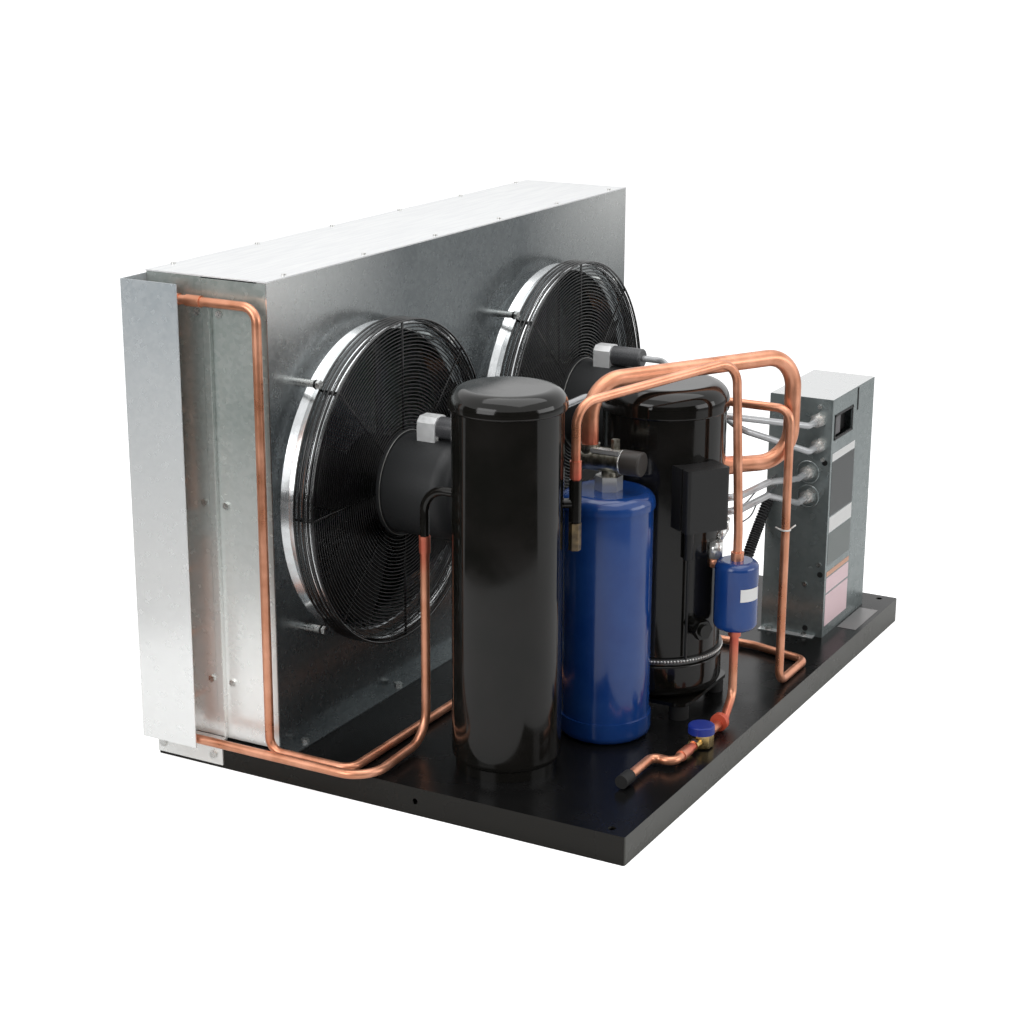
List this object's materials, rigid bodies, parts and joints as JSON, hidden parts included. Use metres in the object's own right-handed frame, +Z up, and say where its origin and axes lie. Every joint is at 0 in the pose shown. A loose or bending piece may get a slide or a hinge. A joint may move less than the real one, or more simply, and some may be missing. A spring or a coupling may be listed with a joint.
{
  "type": "refrigeration condensing unit",
  "caption": "Air-cooled condensing unit on a steel base pan: twin fans and coil casing behind a compressor, liquid receiver, suction accumulator, drier and control box.",
  "frame": {"origin": "centre of the base pan's footprint, at the floor", "axes": "+X along the base pan from the coil header end to the far end, +Y from the service side to the coil side, +Z up"},
  "size_m": [1.346, 0.87, 0.823],
  "materials": {
    "base_enamel": "glossy black",
    "galvanised_sheet": "zinc coated, dull",
    "white_sheet": "pale painted sheet",
    "aluminium_fin": "plain fins",
    "copper": "bright copper",
    "brass": "machined brass",
    "black_enamel": "glossy black",
    "blue_enamel": "glossy blue",
    "black_wire": "plastic coated",
    "motor_grey": "semi-gloss",
    "blade_grey": "semi-gloss",
    "zinc_fastener": "bright zinc",
    "steel": "plain steel",
    "black_plastic": "moulded",
    "grey_plastic": "moulded",
    "blue_plastic": "moulded",
    "rubber": "moulded",
    "red_silicone": "moulded"
  },
  "bodies": {
    "unit": {"accumulator_shell": "blue_enamel", "accumulator_valve_body": "steel", "accumulator_valve_nut": "steel", "base_pan": "base_enamel", "brazed_sleeves": "copper", "cable_conduits": "grey_plastic", "casing_end_plates": "galvanised_sheet", "coil_covers": "galvanised_sheet", "coil_fins": "aluminium_fin", "coil_foot_angle": "galvanised_sheet", "coil_return_bends": "copper", "coil_support_rail": "galvanised_sheet", "compressor_foot_plate": "black_enamel", "compressor_ports": "copper", "compressor_rubber_feet": "rubber", "compressor_shell": "black_enamel", "compressor_top_cap": "black_enamel", "condenser_outlet_pipe": "copper", "conduit_glands": "steel", "control_box_body": "galvanised_sheet", "control_box_switchgear": "black_plastic", "crankcase_heater_band": "steel", "discharge_pipe": "copper", "drier_outlet_pipe": "copper", "fan_1_guard": "black_wire", "fan_1_motor": "motor_grey", "fan_2_guard": "black_wire", "fan_2_motor": "motor_grey", "fan_collars": "galvanised_sheet", "fan_panel": "galvanised_sheet", "filter_drier_shell": "blue_enamel", "guard_bolts": "zinc_fastener", "heater_lead": "black_plastic", "hex_bolts": "zinc_fastener", "inlet_header": "copper", "liquid_outlet_stub": "copper", "liquid_pipe": "copper", "motor_capacitors": "grey_plastic", "motor_gland_blocks": "steel", "oil_sight_fitting": "black_enamel", "outlet_header": "copper", "panel_screws": "zinc_fastener", "pipe_grommet": "red_silicone", "receiver_inlet_elbow": "black_enamel", "receiver_outlet_valve": "black_enamel", "receiver_shell": "black_enamel", "receiver_top_cap": "black_enamel", "sight_glass_body": "brass", "suction_pipe": "copper", "terminal_box_base": "black_plastic", "top_panel": "white_sheet"},
    "fan_1_wheel": {"fan_1_impeller": "blade_grey"},
    "fan_2_wheel": {"fan_2_impeller": "blade_grey"},
    "suction_valve_cap": {"accumulator_valve_cap": "black_enamel"},
    "suction_valve_spindle": {"accumulator_valve_stem": "steel"},
    "liquid_valve_cap": {"receiver_valve_cap": "brass"},
    "sight_glass_lid": {"sight_glass_cap": "blue_plastic"},
    "outlet_end_cap": {"liquid_outlet_cap": "black_plastic"},
    "terminal_cover": {"terminal_box_cover": "black_plastic"},
    "box_door": {"control_box_cover": "white_sheet"}
  },
  "joints": [
    {"name": "fan_1_spin", "type": "hinge", "parent": "unit", "child": "fan_1_wheel", "pos_m": [-0.325, 0.125, 0.443], "axis": [0, 1, 0], "continuous": true},
    {"name": "fan_2_spin", "type": "hinge", "parent": "unit", "child": "fan_2_wheel", "pos_m": [0.323, 0.125, 0.443], "axis": [0, 1, 0], "continuous": true},
    {"name": "suction_valve_cap_off", "type": "slide", "parent": "unit", "child": "suction_valve_cap", "axis": [0, -1, 0], "range_m": [0, 0.045]},
    {"name": "suction_valve_spindle_turn", "type": "hinge", "parent": "unit", "child": "suction_valve_spindle", "pos_m": [-0.268, -0.249, 0.515], "axis": [0, -1, 0], "range_deg": [0, 1440]},
    {"name": "liquid_valve_cap_off", "type": "slide", "parent": "unit", "child": "liquid_valve_cap", "axis": [0, 0, -1], "range_m": [0, 0.03]},
    {"name": "sight_glass_lid_off", "type": "slide", "parent": "unit", "child": "sight_glass_lid", "axis": [0, 0, 1], "range_m": [0, 0.04]},
    {"name": "outlet_end_cap_off", "type": "slide", "parent": "unit", "child": "outlet_end_cap", "axis": [-1, 0, 0], "range_m": [0, 0.04]},
    {"name": "terminal_cover_off", "type": "slide", "parent": "unit", "child": "terminal_cover", "axis": [-0.5736, -0.8192, 0], "range_m": [0, 0.05]},
    {"name": "box_door_off", "type": "slide", "parent": "unit", "child": "box_door", "axis": [0, -1, 0], "range_m": [0, 0.06]}
  ]
}
